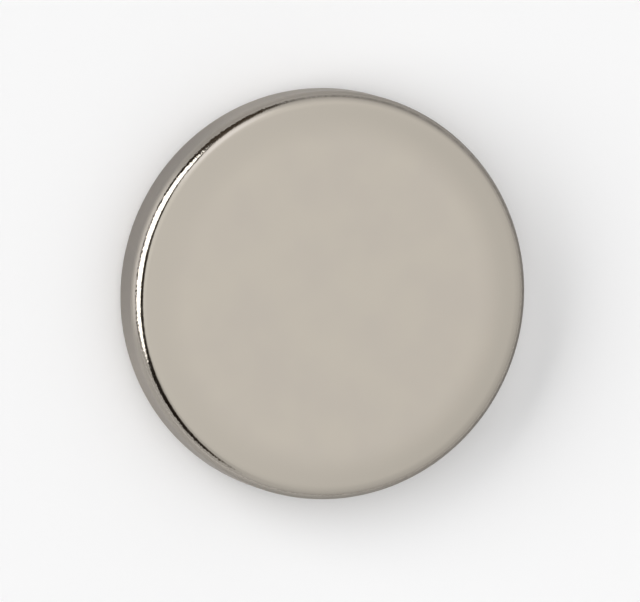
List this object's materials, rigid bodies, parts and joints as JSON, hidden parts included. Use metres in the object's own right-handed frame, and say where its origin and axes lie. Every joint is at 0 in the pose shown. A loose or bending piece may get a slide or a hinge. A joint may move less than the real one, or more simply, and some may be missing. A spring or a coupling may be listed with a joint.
{
  "type": "disc magnet",
  "caption": "Flat round magnet with a straight rim and softly rounded edges, nickel plated all over, to hold by a pole face or seat in a round pocket.",
  "frame": {"origin": "centre of the lower pole face, on the axis of the disc", "axes": "+Z along the axis, out of the upper pole face; X and Y lie in the lower pole face, and the disc is the same all round"},
  "size_m": [0.025, 0.025, 0.004],
  "materials": {
    "nickel_plate": "bright nickel plate with a faint satin grain, slightly warm"
  },
  "bodies": {
    "root": {"disc_magnet": "nickel_plate"}
  },
  "joints": []
}
